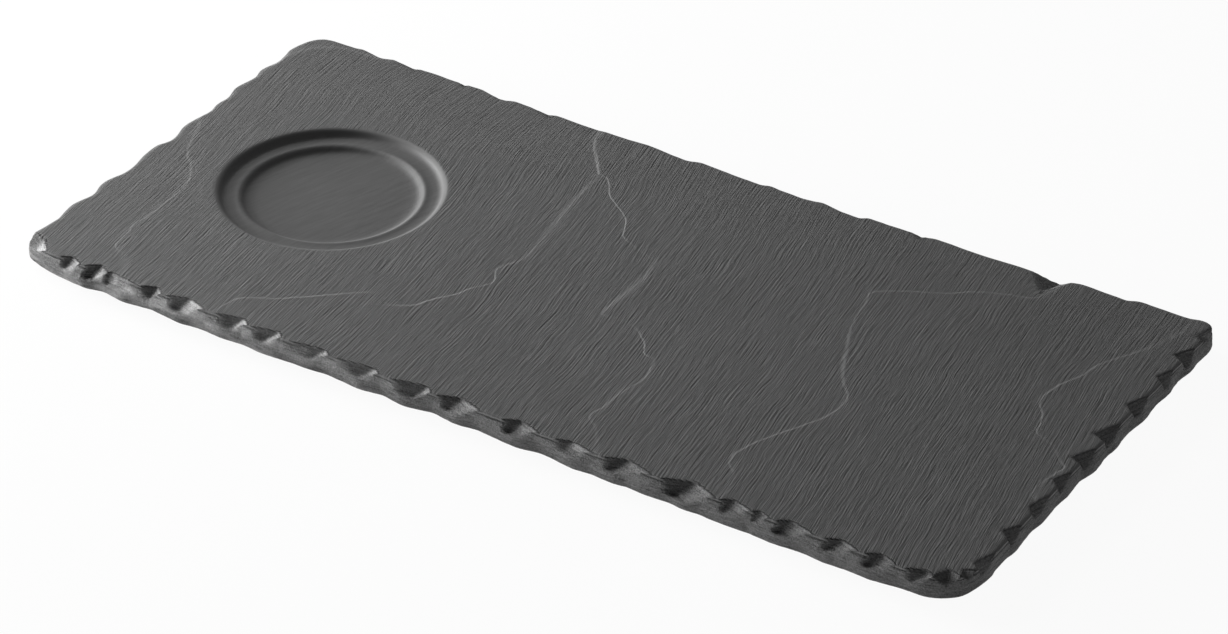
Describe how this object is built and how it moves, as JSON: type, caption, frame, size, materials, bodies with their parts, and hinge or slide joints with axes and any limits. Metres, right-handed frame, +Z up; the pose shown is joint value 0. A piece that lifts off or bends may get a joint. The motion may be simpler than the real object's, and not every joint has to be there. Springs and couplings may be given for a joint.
{
  "type": "serving plate",
  "caption": "Rectangular slate-look serving plate with chipped edges, low split-stone terraces and one stepped round recess for a small cup, on non-slip pads.",
  "frame": {"origin": "on the table, under the middle of the plate", "axes": "+X along the length, away from the cup recess; +Y across the width, towards the back edge; +Z up"},
  "size_m": [0.25, 0.1202, 0.0074],
  "materials": {
    "slate_ceramic": "matt, grained like split slate",
    "pad_rubber": "matt",
    "adhesive_film": "matt"
  },
  "bodies": {
    "root": {"plate": "slate_ceramic", "foot_pad_front_left": "pad_rubber", "foot_pad_front_right": "pad_rubber", "foot_pad_back_left": "pad_rubber", "foot_pad_back_right": "pad_rubber", "foot_tape_front_left": "adhesive_film", "foot_tape_front_right": "adhesive_film", "foot_tape_back_left": "adhesive_film", "foot_tape_back_right": "adhesive_film"}
  },
  "joints": []
}
